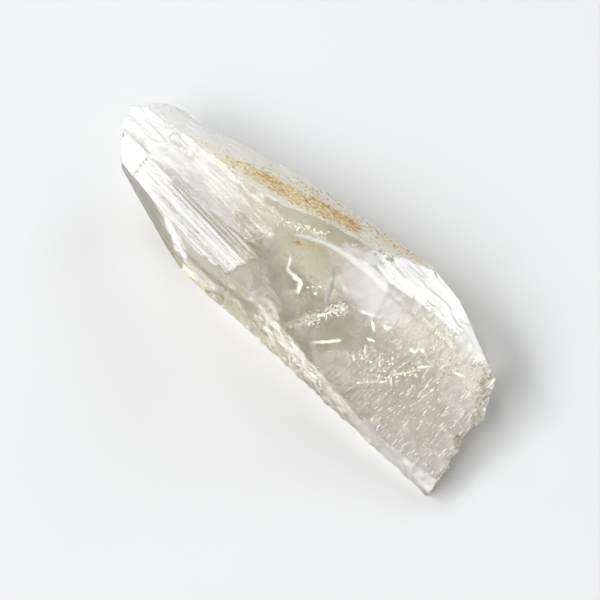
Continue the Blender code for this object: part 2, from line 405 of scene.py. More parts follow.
def underside_relief(points):
    """Shallow flaws that leave most of the face flat to rest on."""
    flaws = ramp(0.56, 0.7, rubble(points, 3.0, 44))
    return 0.16 * flaws * (0.5 + 0.5 * noise(points, 0.7, 48))


def run_out(points):
    """How rough a fracture bowl is: 0 at its smooth rim, 1 where it runs out at the end."""
    return ramp(13, 27, points[:, 0] - 0.25 * points[:, 1])


def hackle_noise(points):
    """Drawn-out ridges across the bowl's floor, from 0 to 1."""
    long_ones = ridge(noise(points, (0.65, 3.2, 6.0), 36)) ** 2
    short_ones = ridge(noise(points, (0.50, 1.7, 6.0), 37)) ** 2
    return (long_ones + 0.7 * short_ones) / 1.7


def rim_lip(points, width):
    """The bowls' walls start with a short steeper lip: 0 on the rim, 1 past the lip.

    The second value says how much of a lip there is: it sets in along the rim.
    """
    bowl = np.maximum(bowl_field(MAIN_BOWL, points), bowl_field(CORNER_BOWL, points))
    rim = np.max([face_field(name, points) for name in ("roof", "saddle", "shoulder")], axis=0)
    return ramp(0, 1, (bowl - rim) / width), ramp(*LIP_FROM, points[:, 0])


def crease(points):
    """1 on the thin crease along the bowl's far wall, falling to 0 beside it."""
    line_x, line_y = np.array(CREASE).T
    x, y, _ = points.T
    away = np.abs(y - np.interp(x, line_x, line_y))
    begins = ramp(line_x[0], line_x[0] + 1, x)
    ends = ramp(line_x[-1] - 2, line_x[-1], x)
    return np.clip(1 - away / CREASE_HALF_WIDTH, 0, 1) * begins * (1 - ends)


def bowl_relief(points):
    """Smooth near the rim, with hackles across the floor where the fracture runs out."""
    x, y, _ = points.T
    spots = ramp(0.4, 0.7, noise(points, (2.4, 2.4, 9.0), 38))
    swell = noise(points, (6.0, 4.0, 9.0), 39)
    ripples = 0.5 + 0.5 * np.sin(np.hypot(x + 4, y - 9) * 2.6 + 2 * swell)
    relief = 0.03 * ripples * ramp(2, 9, x) + 0.12 * swell
    relief += 0.05 * noise(points, (0.9, 1.2, 5.0), 40)
    lip, share = rim_lip(points, LIP_WIDTH)
    relief += LIP_DEPTH * lip * share + CREASE_DEPTH * crease(points)
    relief += 0.10 * on_shelf(points) * striation_lines(strip("striated", points))
    return relief + run_out(points) * (0.13 + 0.15 * spots) * hackle_noise(points)


RELIEFS = {
    "underside": underside_relief,
    "striated": striated_relief,
    "roof": roof_relief,
    "stained_tip": stained_relief,
    "stained_middle": stained_relief,
    "saddle": saddle_relief,
    "shoulder": shoulder_relief,
    "shoulder_wall": shoulder_relief,
    "corner_wall": shoulder_relief,
    "long_wall": long_wall_relief,
    "tip_wall": tip_wall_relief,
    "tip_belly": belly_relief,
    "far_belly": belly_relief,
    "rough_bevel": bevel_relief,
    "tip_left": tip_relief,
    "tip_end": tip_relief,
    "tip_right": tip_relief,
    "main_bowl": bowl_relief,
    "corner_bowl": bowl_relief,
    "ragged_end": ragged_relief,
}

# ---- the whole crystal's field

REGIONS = [*FACES, "main_bowl", "corner_bowl", "ragged_end", "bite"]
BOWLS = ("main_bowl", "corner_bowl")
# Relief is worked out this near to the surface, which is deeper than any of it cuts.
DETAIL_REACH = 0.9
# Faces that round off into each other, and the width of the rounding in mm.
ROUNDED = [
    (BOWLS, ("striated", "rough_bevel"), 1.6),
    (("underside",), ("far_belly", "tip_belly"), 2.4),
]


def shelf(points):
    """How much the corner bowl is raised where the striations run on past the ledge."""
    return SHELF_RISE * (1 - ramp(0.6, SHELF_REACH, away_from(points[:, :2], *SHELF_LINE)))


def plain_fields(points):
    """The field of each region but the bites, one column each."""
    columns = [face_field(name, points) for name in FACES]
    columns += [bowl_field(MAIN_BOWL, points), bowl_field(CORNER_BOWL, points) - shelf(points)]
    columns.append(ragged_field(points))
    return np.stack(columns, axis=1)


def crest_height(x, y):
    """Height of the plain surface above (x, y), by halving."""
    low, high = 1.0, 16.0
    for _ in range(30):
        middle = (low + high) / 2
        inside = plain_fields(np.array([[x, y, middle]])).max() < 0
        low, high = (middle, high) if inside else (low, middle)
    return low


def bites():
    """Centre and radius of each bite out of the crystal's edges."""
    found = [(place, radius) for *place, radius in TIP_BITES]
    slant = math.sqrt(0.5)
    for x, radius, depth in CREST_BITES:
        out = (radius - depth) * slant
        found.append(((x, CREST_Y - out, crest_height(x, CREST_Y) + out), radius))
    for x, radius, depth in FOOT_BITES:
        out = (radius - depth) * slant
        found.append(((x, FOOT_Y - out, -out), radius))
    for x, y, radius, depth in RIM_CHIPS:
        found.append(((x, y, crest_height(x, y) + radius - depth), radius))
    return found


BITES = bites()


def bite_field(points):
    """Positive inside a bite. Its wall is a little lumpy."""
    value = np.full(len(points), -np.inf)
    for centre, radius in BITES:
        offset = points - centre
        near = np.einsum("ij,ij->i", offset, offset) < (radius * 1.6) ** 2
        if near.any():
            lumps = 0.35 * radius * (rubble(points[near], radius * 0.8, 50, 2) - 0.5)
            depth = radius * 0.85 - np.linalg.norm(offset[near], axis=1) + lumps
            value[near] = np.maximum(value[near], depth)
    return value


def on(region, *names):
    """Whether each place, given by the number of its region, lies on one of the named regions."""
    return np.isin(region, [REGIONS.index(name) for name in names])


def region_fields(points):
    """The field of every region with its relief, one column each."""
    fields = plain_fields(points)
    top = fields.max(axis=1)
    for column, region in enumerate(REGIONS[:-1]):
        near = fields[:, column] > top - DETAIL_REACH
        if near.any():
            fields[near, column] += RELIEFS[region](points[near])
    return np.column_stack((fields, bite_field(points)))


def crystal_field(points):
    """The whole field, in which some neighbouring faces round off into each other."""
    fields = region_fields(points)
    value = fields.max(axis=1)
    for first, second, width in ROUNDED:
        a = fields[:, [REGIONS.index(name) for name in first]].max(axis=1)
        b = fields[:, [REGIONS.index(name) for name in second]].max(axis=1)
        near = np.clip(width - np.abs(a - b), 0, None)
        value = np.maximum(value, np.maximum(a, b) + near**2 / (4 * width))
    return value


def quick_field(points):
    """The field, with the relief worked out only near the surface."""
    value = plain_fields(points).max(axis=1)
    near = np.abs(value) < DETAIL_REACH
    if near.any():
        value[near] = crystal_field(points[near])
    return value


# ---- from the field to a mesh

# Planes of the grid that are worked out at a time.
SLAB = 6
# The value, in mm, of a grid point that is moved just outside the crystal.
JUST_OUTSIDE = 1e-3
# A direction counts as fixed by the planes round a cell from this share of the best fixed one.
FIXED_SHARE = 0.008


def grid_values(low, counts, cell):
    """The field at every point of a grid, in slabs to keep memory small."""
    axes = [low[k] + cell * np.arange(counts[k]) for k in range(3)]
    values = np.empty(tuple(counts))
    for start in range(0, counts[0], SLAB):
        slab = axes[0][start:start + SLAB]
        x, y, z = np.meshgrid(slab, axes[1], axes[2], indexing="ij")
        points = np.stack((x, y, z), axis=-1).reshape(-1, 3)
        values[start:start + SLAB] = quick_field(points).reshape(x.shape)
    return values


def part_checkerboards(values):
    """Moves corners just outside until no grid face has its signs in a checkerboard."""
    for _ in range(8):
        inside = values < 0
        found = np.zeros_like(inside)
        for axis_a, axis_b in ((0, 1), (0, 2), (1, 2)):
            signs, marks = (np.moveaxis(grid, (axis_a, axis_b), (0, 1)) for grid in (inside, found))
            near, a, b, far = signs[:-1, :-1], signs[1:, :-1], signs[:-1, 1:], signs[1:, 1:]
            marks[:-1, :-1] |= (near == far) & (a == b) & (near != a)
        if not found.any():
            return
        for corner in np.argwhere(found):
            block = tuple(slice(n, n + 2) for n in corner)
            least = np.where(values[block] < 0, -values[block], np.inf).argmin()
            place = tuple(corner + np.unravel_index(least, values[block].shape))
            values[place] = JUST_OUTSIDE


def crossings(values, low, cell):
    """Where the surface crosses the grid's edges, the four cells round each, and its facing."""
    inside = values < 0
    points, cells, outward = [], [], []
    for axis in range(3):
        first, second = [slice(None)] * 3, [slice(None)] * 3
        first[axis], second[axis] = slice(0, -1), slice(1, None)
        crossed = inside[tuple(first)] != inside[tuple(second)]
        index = np.argwhere(crossed)
        value_a, value_b = values[tuple(first)][crossed], values[tuple(second)][crossed]
        start = low + index * cell
        points.append(false_position(start, axis, cell, value_a, value_b))
        u, v = [k for k in range(3) if k != axis]
        ring = np.zeros((4, 3), int)
        ring[:, [u, v]] = (0, 0), (-1, 0), (-1, -1), (0, -1)
        cells.append(index[:, None] + ring)
        outward.append((value_a < 0) == (axis != 1))
    return np.concatenate(points), np.concatenate(cells), np.concatenate(outward)


def false_position(start, axis, cell, value_a, value_b):
    """Points of the surface on edges that run from start along an axis."""
    near, far = np.zeros(len(start)), np.ones(len(start))
    share = value_a / (value_a - value_b)
    points = start.copy()
    for _ in range(3):
        points[:, axis] = start[:, axis] + share * cell
        value = crystal_field(points)
        same = (value < 0) == (value_a < 0)
        near, value_a = np.where(same, share, near), np.where(same, value, value_a)
        far, value_b = np.where(same, far, share), np.where(same, value_b, value)
        spread = np.where(np.abs(value_a - value_b) > 1e-12, value_a - value_b, 1.0)
        share = np.clip(near + (far - near) * value_a / spread, 0.0, 1.0)
    points[:, axis] = start[:, axis] + share * cell
    return points


def gradients(points, reach):
    """The direction in which the field rises fastest, which is the surface's outward normal."""
    steps = np.eye(3) * reach
    slopes = [crystal_field(points + step) - crystal_field(points - step) for step in steps]
    normals = np.stack(slopes, axis=1)
    return normals / (np.linalg.norm(normals, axis=1, keepdims=True) + 1e-20)


def sharp_points(points, normals, owner, count):
    """For each cell, the point that lies best on the planes of its crossings."""

    def total(weights):
        return np.bincount(owner, weights, count)

    middle = np.stack([total(points[:, k]) for k in range(3)], axis=1)
    middle /= np.bincount(owner, minlength=count)[:, None]
    facing = np.einsum("ij,ij->i", normals, points)
    right = np.stack([total(normals[:, k] * facing) for k in range(3)], axis=1)
    left = np.empty((count, 3, 3))
    for a, b in itertools.product(range(3), repeat=2):
        left[:, a, b] = total(normals[:, a] * normals[:, b])
    sizes, axes = np.linalg.eigh(left)
    # Directions that the planes hardly fix are left at the middle of the crossings.
    keep = sizes > FIXED_SHARE * sizes[:, -1:]
    inverse = np.where(keep, 1 / np.maximum(sizes, 1e-12), 0)
    miss = right - np.einsum("nij,nj->ni", left, middle)
    return middle + np.einsum("nij,nj->ni", axes, inverse * np.einsum("nji,nj->ni", axes, miss))


def contour(low, high, cell):
    """Vertices and quads of the surface where the crystal's field is zero (dual contouring)."""
    low = low - 2 * cell
    counts = np.ceil((high + 2 * cell - low) / cell).astype(int) + 1
    values = grid_values(low, counts, cell)
    part_checkerboards(values)
    points, cells, outward = crossings(values, low, cell)
    normals = gradients(points, cell * 0.02)
    keys = np.ravel_multi_index(np.moveaxis(cells, -1, 0), counts)
    used, owner = np.unique(keys.ravel(), return_inverse=True)
    owner = owner.reshape(keys.shape)
    vertices = sharp_points(
        np.repeat(points, 4, axis=0), np.repeat(normals, 4, axis=0), owner.ravel(), len(used)
    )
    first = low + cell * np.stack(np.unravel_index(used, counts), axis=1)
    vertices = np.clip(vertices, first - 0.05 * cell, first + 1.05 * cell)
    quads = np.where(outward[:, None], owner, owner[:, ::-1])
    return vertices, quads


# ---- materials


def new_material(name):
    """A material, its node tree and its Principled shader."""
    material = bpy.data.materials.new(name)
    material.use_nodes = True
    return material, material.node_tree, material.node_tree.nodes["Principled BSDF"]


def feed(tree, socket, value):
    """Sets a socket to a number, or links it to another socket."""
    if isinstance(value, bpy.types.NodeSocket):
        tree.links.new(value, socket)
    else:
        socket.default_value = value


def calculate(tree, operation, *inputs, clamp=False):
    node = tree.nodes.new("ShaderNodeMath")
    node.operation, node.use_clamp = operation, clamp
    for socket, value in zip(node.inputs, inputs):
        feed(tree, socket, value)
    return node.outputs["Value"]


def scaled(tree, value, factor, offset, clamp=True):
    """The value times the factor plus the offset, each a number or a socket."""
    return calculate(tree, "MULTIPLY_ADD", value, factor, offset, clamp=clamp)


def attribute(tree, name, output="Fac"):
    node = tree.nodes.new("ShaderNodeAttribute")
    node.attribute_name = name
    return node.outputs[output]


def grain(tree, vector, sizes, detail=2.0):
    """Noise about 0.5 whose lumps are this many millimetres along each axis."""
    mapping = tree.nodes.new("ShaderNodeMapping")
    mapping.inputs["Scale"].default_value = [1 / (size * MM) for size in sizes]
    tree.links.new(vector, mapping.inputs["Vector"])
    texture = tree.nodes.new("ShaderNodeTexNoise")
    texture.inputs["Scale"].default_value = 1.0
    texture.inputs["Detail"].default_value = detail
    tree.links.new(mapping.outputs["Vector"], texture.inputs["Vector"])
    return texture.outputs["Fac"]


def blend_colours(tree, share, first, second):
    node = tree.nodes.new("ShaderNodeMix")
    node.data_type = "RGBA"
    # Of this node's sockets, 0 is the share, and 6, 7 and the output 2 are colours.
    feed(tree, node.inputs[0], share)
    feed(tree, node.inputs[6], first)
    feed(tree, node.inputs[7], second)
    return node.outputs[2]


def object_position(tree):
    return tree.nodes.new("ShaderNodeTexCoord").outputs["Object"]


QUARTZ_IOR = 1.544
CLEAR, WHITE = (0.995, 0.995, 0.99, 1), (0.93, 0.92, 0.90, 1)
RUST_DARK, RUST_PALE = (0.43, 0.18, 0.02, 1), (0.72, 0.50, 0.12, 1)
# The colour of painted shade is a dark olive, and the stain's colour is a faint yellow.
PAINTED_SHADE_COLOUR, STAIN_COLOUR = (0.42, 0.37, 0.26, 1), (0.94, 0.83, 0.54, 1)
# Light that passes through the crystal takes on a smoky yellow, the more the further it goes.
SMOKE_COLOUR, SMOKE_DENSITY = (0.64, 0.56, 0.22, 1), 26.0
# How high the finest grain stands out, in mm.
FINE_GRAIN = 0.10
CRACK_DARK, CRACK_PALE = (0.95, 0.90, 0.76, 1), (1.0, 0.99, 0.95, 1)
PAPER_DARK, PAPER_PALE = (0.80, 0.80, 0.80, 1), (0.84, 0.84, 0.835, 1)


def iron_specks(tree, place):
    """The share and the colour of iron specks, drawn out along the crystal."""
    # The more stain, the more of the noise is specks.
    least = scaled(tree, attribute(tree, "stain"), -0.32, 0.75, clamp=False)
    above = calculate(tree, "SUBTRACT", grain(tree, place, (0.62, 0.24, 0.24)), least)
    rust = calculate(tree, "MULTIPLY", above, 12.0, clamp=True)
    shade = scaled(tree, grain(tree, place, (3.0, 0.9, 0.9)), 5.0, -1.8)
    return rust, blend_colours(tree, shade, RUST_DARK, RUST_PALE)


def white_and_highlights(tree, place, strip_place, lined, hairs_and_glints):
    """The share of white: crushed and etched quartz, in grains or striation lines, and painted
    highlights.
    """
    grains = scaled(tree, grain(tree, place, (0.55, 0.30, 0.30)), 2.2, -0.30)
    lines = scaled(tree, grain(tree, strip_place, (14.0, 0.20, 1.0)), 2.4, -0.45)
    more = calculate(tree, "SUBTRACT", lines, grains)
    powder = scaled(tree, more, lined, grains, clamp=False)
    white_and_glint = calculate(tree, "MULTIPLY", attribute(tree, "white_and_glint"), powder, clamp=True)
    white_and_glint = calculate(tree, "MAXIMUM", white_and_glint, attribute(tree, "haze_and_highlight"))
    return calculate(tree, "MAXIMUM", white_and_glint, hairs_and_glints)


def fine_grain(tree, place, strip_place, lined, hairs_and_glints):
    """The normal: growth lines on the striated face and the roof, and finer grain everywhere."""
    lines = scaled(tree, grain(tree, strip_place, (30.0, 0.24, 1.0)), 0.6, -0.26, clamp=False)
    lines = calculate(tree, "MULTIPLY", lines, lined)
    dust = grain(tree, place, (0.30, 0.30, 0.30), 3.0)
    dust = calculate(tree, "MULTIPLY", dust, attribute(tree, "grained"))
    height = scaled(tree, hairs_and_glints, -0.6, calculate(tree, "ADD", lines, dust), clamp=False)
    bump = tree.nodes.new("ShaderNodeBump")
    bump.inputs["Distance"].default_value = FINE_GRAIN * MM
    feed(tree, bump.inputs["Height"], height)
    return bump.outputs["Normal"]


def quartz_material():
    """Clear quartz, white where it is crushed or etched and where highlights are painted, dark olive
    where shade is painted, with rust-coloured specks of iron.
    """
    material, tree, shader = new_material("smoky_clear_quartz")
    shader.inputs["IOR"].default_value = QUARTZ_IOR
    place, strip_place = object_position(tree), attribute(tree, "strip", "Vector")
    lined = attribute(tree, "lined")
    # Hair-fine ridges and scratches across the fracture bowl, whose white is partly painted glints.
    hairs_and_glints = scaled(tree, grain(tree, place, (0.28, 1.2, 1.2)), 14.0, -7.9)
    hairs_and_glints = calculate(tree, "MULTIPLY", hairs_and_glints, attribute(tree, "hackled"))
    rust, rust_colour = iron_specks(tree, place)
    white_and_glint = white_and_highlights(tree, place, strip_place, lined, hairs_and_glints)
    # Painted shade, a dull dark olive, on the far part of the underside, in grooves and low on the
    # long wall.
    spots = scaled(tree, grain(tree, place, (1.6, 1.6, 1.6)), 1.2, 0.4, clamp=False)
    painted_shade = calculate(tree, "MULTIPLY", attribute(tree, "painted_shade"), spots, clamp=True)

    colour = blend_colours(tree, white_and_glint, CLEAR, WHITE)
    colour = blend_colours(tree, painted_shade, colour, PAINTED_SHADE_COLOUR)
    # Between the specks the stain is a faint yellow.
    tint = calculate(tree, "MULTIPLY", attribute(tree, "stain"), 0.60, clamp=True)
    colour = blend_colours(tree, tint, colour, STAIN_COLOUR)
    colour = blend_colours(tree, rust, colour, rust_colour)
    feed(tree, shader.inputs["Base Color"], colour)

    cover = calculate(tree, "MAXIMUM", calculate(tree, "MULTIPLY", rust, 0.85), white_and_glint)
    cover = calculate(tree, "MAXIMUM", cover, painted_shade)
    clear = calculate(tree, "SUBTRACT", 1.0, cover, clamp=True)
    feed(tree, shader.inputs["Transmission Weight"], clear)
    feed(tree, shader.inputs["Roughness"], scaled(tree, cover, 0.4, attribute(tree, "frost")))
    normal = fine_grain(tree, place, strip_place, lined, hairs_and_glints)
    feed(tree, shader.inputs["Normal"], normal)

    smoke = tree.nodes.new("ShaderNodeVolumeAbsorption")
    smoke.inputs["Color"].default_value = SMOKE_COLOUR
    smoke.inputs["Density"].default_value = SMOKE_DENSITY
    tree.links.new(smoke.outputs["Volume"], tree.nodes["Material Output"].inputs["Volume"])
    return material


def crack_material():
    """The walls of an inner crack, which throw back most of the light."""
    material, tree, shader = new_material("inner_crack")
    speckle = grain(tree, object_position(tree), (0.5, 0.5, 0.5), 3.0)
    colour = blend_colours(tree, speckle, CRACK_DARK, CRACK_PALE)
    feed(tree, shader.inputs["Base Color"], colour)
    shader.inputs["Roughness"].default_value = 0.30
    shader.inputs["Metallic"].default_value = 0.75
    return material


def table_material():
    material, tree, shader = new_material("pale_table")
    shader.inputs["Roughness"].default_value = 0.9
    shader.inputs["Specular IOR Level"].default_value = 0.2
    clouds = grain(tree, object_position(tree), (40, 40, 40))
    colour = blend_colours(tree, clouds, PAPER_DARK, PAPER_PALE)
    feed(tree, shader.inputs["Base Color"], colour)
    return material


# ---- what the faces look like

# Of each face: roughness, share of white, height of its fine grain.
LOOKS = {
    "underside": (0.08, 0.05, 0.2),
    "long_wall": (0.07, 0.03, 0.2),
    "tip_wall": (0.06, 0.00, 0.1),
    "striated": (0.03, 0.42, 0.03),
    "roof": (0.03, 0.14, 0.03),
    "saddle": (0.03, 0.05, 0.3),
    "stained_tip": (0.12, 0.80, 0.12),
    "stained_middle": (0.12, 0.70, 0.15),
    "shoulder": (0.03, 0.06, 0.05),
    "shoulder_wall": (0.04, 0.04, 0.1),
    "corner_wall": (0.04, 0.04, 0.1),
    "tip_belly": (0.15, 0.08, 0.2),
    "far_belly": (0.30, 0.15, 0.3),
    "tip_left": (0.03, 0.08, 0.2),
    "tip_end": (0.03, 0.08, 0.2),
    "tip_right": (0.08, 0.15, 0.4),
    "rough_bevel": (0.20, 0.30, 0.3),
    "main_bowl": (0.0, 0.0, 0.03),
    "corner_bowl": (0.0, 0.0, 0.03),
    "ragged_end": (0.12, 0.42, 0.4),
    "bite": (0.18, 0.30, 0.2),
}

# How much the fine grain of a face is drawn out into lines.
LINED = {"striated": 1.0, "roof": 0.6, "stained_tip": 0.45, "stained_middle": 0.45}

# Iron stain lies in streaks: start, end and half-width in mm, and strength.
STREAKS = [
    ((-26.0, 2.5, 10.4), (-13.0, 3.0, 12.0), 1.4, 0.50),
    ((-18.0, 2.9, 11.6), (-12.0, 4.0, 11.5), 2.4, 0.72),
    ((-12.5, 3.8, 11.4), (-4.0, 5.5, 11.8), 2.5, 0.95),
    ((-6.0, 5.0, 12.0), (1.5, 7.6, 11.1), 2.6, 1.0),
    ((0.0, 8.6, 9.6), (12.0, 11.8, 8.7), 2.0, 0.66),
    ((-13.0, 6.0, 10.4), (1.0, 9.4, 9.6), 2.6, 0.62),
    ((-1.0, -1.3, 13.8), (2.6, 0.8, 13.0), 0.7, 0.65),
    ((-1.5, -7.0, 14.0), (6.4, -9.5, 11.5), 2.8, 0.36),
    ((6.0, -9.2, 11.4), (30.0, -8.5, 5.0), 4.0, 0.30),
]
# Beside the streaks, stain lies faintly on the stained faces, on the broken wall and at the end.
FAINT_STAIN, WALL_STAIN, END_STAIN = 0.40, 0.34, 0.28
# Streaks and the stained faces' stain reach down to this height.
STAIN_FLOOR = 5.0

# White haze and painted highlights lie about these lines: start, end and half-width in mm, strength,
# raggedness.
HAZES_AND_HIGHLIGHTS = [
    ((-18.0, -10.7, 8.2), (-15.4, -11.1, 6.7), 2.4, 0.85, 0.9),
    ((-11.0, -11.7, 4.8), (-8.0, -11.9, 4.3), 1.8, 0.30, 0.6),
    ((10.5, 2.5, 10.8), (14.5, 2.5, 10.5), 4.8, 0.40, 0.5),
    ((27.0, 7.0, 8.6), (29.5, 6.8, 8.0), 2.4, 0.65, 0.5),
    ((14.0, 9.5, 10.5), (27.0, 8.5, 8.6), 3.2, 0.40, 0.8),
    ((4.0, 8.7, 10.6), (9.0, 10.4, 9.6), 1.5, 0.50, 0.8),
    ((-1.0, -6.0, 14.0), (6.4, -9.1, 11.5), 2.6, 0.26, 0.8),
    ((5.6, 3.9, 12.9), (8.6, 5.6, 12.4), 1.3, 0.65, 1.2),
    ((8.5, -9.9, 10.4), (19.0, -11.1, 7.4), 2.2, 0.34, 1.2),
    ((17.0, -9.5, 7.0), (32.0, -2.0, 5.0), 5.5, 0.24, 0.5),
    ((6.0, -4.0, 10.8), (13.0, -4.0, 9.0), 3.0, 0.10, 0.5),
    ((18.0, -12.0, 5.0), (33.0, -12.0, 3.0), 3.5, 0.34, 0.8),
]
# A painted highlight lies white on the lip, in a band that widens from one width to the other between
# two places along X.
LIP_BAND, LIP_BAND_FROM = (0.5, 1.5), (2.0, 14.0)
LIP_BAND_END = (11.0, 20.0)


def stain_at(points, region):
    """How densely iron specks lie, from 0 to 1."""
    x, _, z = points.T
    stain = np.zeros(len(points))
    for start, end, half_width, strength in STREAKS:
        away = away_from(points, start, end)
        stain = np.maximum(stain, strength * (1 - ramp(0.5, 1.6, away / half_width)))
    stained = on(region, "stained_tip", "stained_middle")
    lengthwise = ramp(-28, -12, x) * (1 - ramp(9, 18, x))
    stain = np.maximum(stain, FAINT_STAIN * stained * lengthwise)
    stain = stain * (z > STAIN_FLOOR)
    low = on(region, "long_wall") * (1 - 0.45 * ramp(6, 14, x))
    stain = np.maximum(stain, WALL_STAIN * low * broken_wall(points))
    open_end = on(region, "main_bowl", "rough_bevel", "ragged_end")
    stain = np.maximum(stain, END_STAIN * open_end * ramp(14, 22, x))
    return stain * (0.75 + 0.5 * noise(points, (4, 1.5, 1.5), 60))


def painted_shade_at(points, region):
    """The share of painted shade: on the far underside, in the grooves and low on the long wall."""
    x, y, z = points.T
    share = 0.16 * ramp(-9, -4, y) + 0.30 * ramp(0, 5, y)
    ends = ramp(-28, -14, x) * (1 - ramp(6, 13, x))
    grooved = ramp(0.02, 0.10, groove_depth(*strip_coordinates("striated", points)))
    low = (1 - ramp(3, 6, z)) * (1 - ramp(8, 15, x))
    painted_shade = on(region, "far_belly", "underside") * share * ends
    painted_shade += on(region, "striated") * 0.40 * grooved
    return painted_shade + on(region, "long_wall") * 0.26 * low * broken_wall(points)


def haze_and_highlight_at(points, region):
    """The share of soft white: haze and painted highlights, and a painted highlight on the lip of the
    bowls' rim.
    """
    haze_and_highlight = np.zeros(len(points))
    wander = 2 * rubble(points, 1.8, 67) - 1
    for start, end, half_width, strength, ragged in HAZES_AND_HIGHLIGHTS:
        away = away_from(points, start, end) / half_width + ragged * wander
        haze_and_highlight = np.maximum(haze_and_highlight, strength * (1 - ramp(0.3, 1.5, away)))
    haze_and_highlight = haze_and_highlight * (0.8 + 0.4 * noise(points, 2, 70))
    # The painted highlight along the lip of the bowls' rim, in a band that widens along X.
    narrow, wide = LIP_BAND
    width = narrow + (wide - narrow) * ramp(*LIP_BAND_FROM, points[:, 0])
    lip, share = rim_lip(points, width)
    share = share * (1 - ramp(*LIP_BAND_END, points[:, 0]))
    return np.maximum(haze_and_highlight, 3.2 * lip * (1 - lip) * share * on(region, *BOWLS))


def below_ledge(points, region):
    """Whether these places lie on the dull ground between the ledge and the shelf."""
    bevel = on(region, "rough_bevel") & (points[:, 0] < 4.5)
    face = on(region, "striated") & past_ledge(strip("striated", points))
    return bevel | face


def frost_at(points, region, frost):
    """How matt the surface is: dull below the ledge and on the broken part of the long wall."""
    dull = 0.08 + 0.45 * noise(points, (1.8, 1.0, 1.0), 71)
    frost = np.where(below_ledge(points, region), dull, frost)
    return frost + on(region, "long_wall") * 0.3 * broken_wall(points)


def white_and_glint_at(points, region, white_and_glint):
    """The share of white, higher on the roughest spots of each face, with painted glints on the
    hackles.
    """
    x = points[:, 0]
    striated, bevel, bowl = on(region, "striated"), on(region, "rough_bevel"), on(region, *BOWLS)
    lined = strip("striated", points)
    grooved = groove_depth(lined[:, 0], lined[:, 1]) > 0.04
    white_and_glint = np.where(striated, white_and_glint * (0.5 + noise(lined, (40, 0.5, 1), 61)), white_and_glint)
    white_and_glint = np.where(striated & grooved, 0, white_and_glint)
    near_tip, mid = ramp(-18, -28, x), ramp(-5, -12, x)
    on_roof = 0.25 + 1.2 * roof_patches(points) + 0.9 * near_tip + 1.3 * mid
    white_and_glint = np.where(on(region, "roof"), white_and_glint * on_roof, white_and_glint)
    # On the hackles' crests the white is crushed quartz and painted glints.
    white_and_glint = white_and_glint + bowl * 0.5 * run_out(points) * hackle_noise(points) ** 2
    to_bowl = face_field("rough_bevel", points) - bowl_field(MAIN_BOWL, points)
    frosted = (1 - ramp(0.8, 2.8, to_bowl)) * (1 - ramp(10, 17, x))
    crushed = ramp(0.45, 0.62, noise(points, (1.1, 0.6, 0.6), 64))
    on_bevel = 0.75 * frosted + 0.5 * crushed + 0.45 * ramp(12, 22, x)
    white_and_glint = white_and_glint + bevel * on_bevel
    white_and_glint = np.where(below_ledge(points, region), 0.4 * white_and_glint, white_and_glint)
    white_and_glint = white_and_glint + (bowl | bevel) * 0.55 * on_shelf(points)
    # The upper half of the long wall is crushed white, and the rest has white specks.
    speckled = ramp(0.60, 0.72, noise(points, 0.8, 63))
    patchy = noise(points, (1.6, 1.6, 1.2), 68)
    high = ramp(3.4, 5.6, points[:, 2] + 2.5 * (patchy - 0.5))
    crushed = high * ramp(1.0, 4.0, x) * (1 - ramp(13, 19, x))
    grains = ramp(0.35, 0.65, noise(points, (0.9, 0.9, 0.7), 69))
    on_wall = broken_wall(points) * (0.08 + 0.5 * speckled) + (0.25 + 0.7 * grains) * crushed
    return np.clip(white_and_glint + on(region, "long_wall") * on_wall, 0, 1)


# ---- inner cracks

# Each crack inside the crystal: its middle line in mm, its half-width and, where it doesn't mirror
# the window, how far it is turned off the direction that does.
CRACKS = [
    ([(0.3, -3.4, 12.6), (1.2, -5.0, 12.4), (2.6, -4.9, 11.7), (3.8, -4.6, 11.3)], 0.42),
    ([(3.6, -4.5, 11.3), (4.5, -6.0, 11.0), (3.7, -6.9, 11.1)], 0.45),
    ([(5.7, 0.1, 11.3), (7.0, -1.6, 10.6), (8.1, -3.8, 9.8)], 0.50, 0.33),
    ([(11.0, -9.5, 8.7), (12.2, -7.9, 8.3), (13.35, -6.2, 8.0)], 0.28, 0.10),
    ([(12.5, -1.1, 9.2), (13.8, -0.5, 9.2), (14.8, 0.0, 9.1), (16.1, 1.4, 9.1)], 0.20),
    ([(14.8, -1.0, 8.8), (15.8, -1.6, 8.4)], 0.22),
    ([(16.3, 0.1, 8.7), (16.9, -0.2, 8.4), (17.3, 0.4, 8.4)], 0.26),
    ([(16.0, -3.1, 8.0), (16.7, -2.7, 7.8)], 0.24, 0.08),
    ([(16.4, -4.1, 7.5), (17.3, -5.0, 7.2)], 0.26),
    ([(16.8, -5.5, 7.3), (17.6, -5.5, 7.0), (17.6, -4.5, 7.2)], 0.16),
    ([(16.0, -6.2, 7.5), (16.9, -6.8, 7.2)], 0.17),
    ([(18.6, -3.3, 7.0), (19.5, -4.0, 6.7)], 0.17),
    ([(20.7, 0.4, 7.4), (22.1, 0.5, 7.0)], 0.26),
    ([(22.1, 0.5, 7.0), (22.0, 1.4, 7.3), (22.6, 1.5, 7.2), (23.6, 1.4, 6.9)], 0.20),
    ([(19.4, -8.8, 6.4), (20.9, -6.7, 5.9), (22.4, -5.0, 5.6)], 0.18),
    ([(21.9, -4.3, 5.8), (22.9, -5.2, 5.4)], 0.20),
    ([(22.1, -3.7, 5.8), (23.6, -1.6, 5.8), (23.8, -0.6, 6.2), (25.1, 0.9, 6.3)], 0.17),
    ([(27.7, 2.5, 6.4), (28.7, 2.7, 6.3), (29.3, 2.9, 6.2)], 0.17),
]
# A crack is a row of short plates this far apart. A plate is twice as thick as its half.
PLATE_STEP, PLATE_HALF = 0.30, 0.012
CRACK_SEED = 7

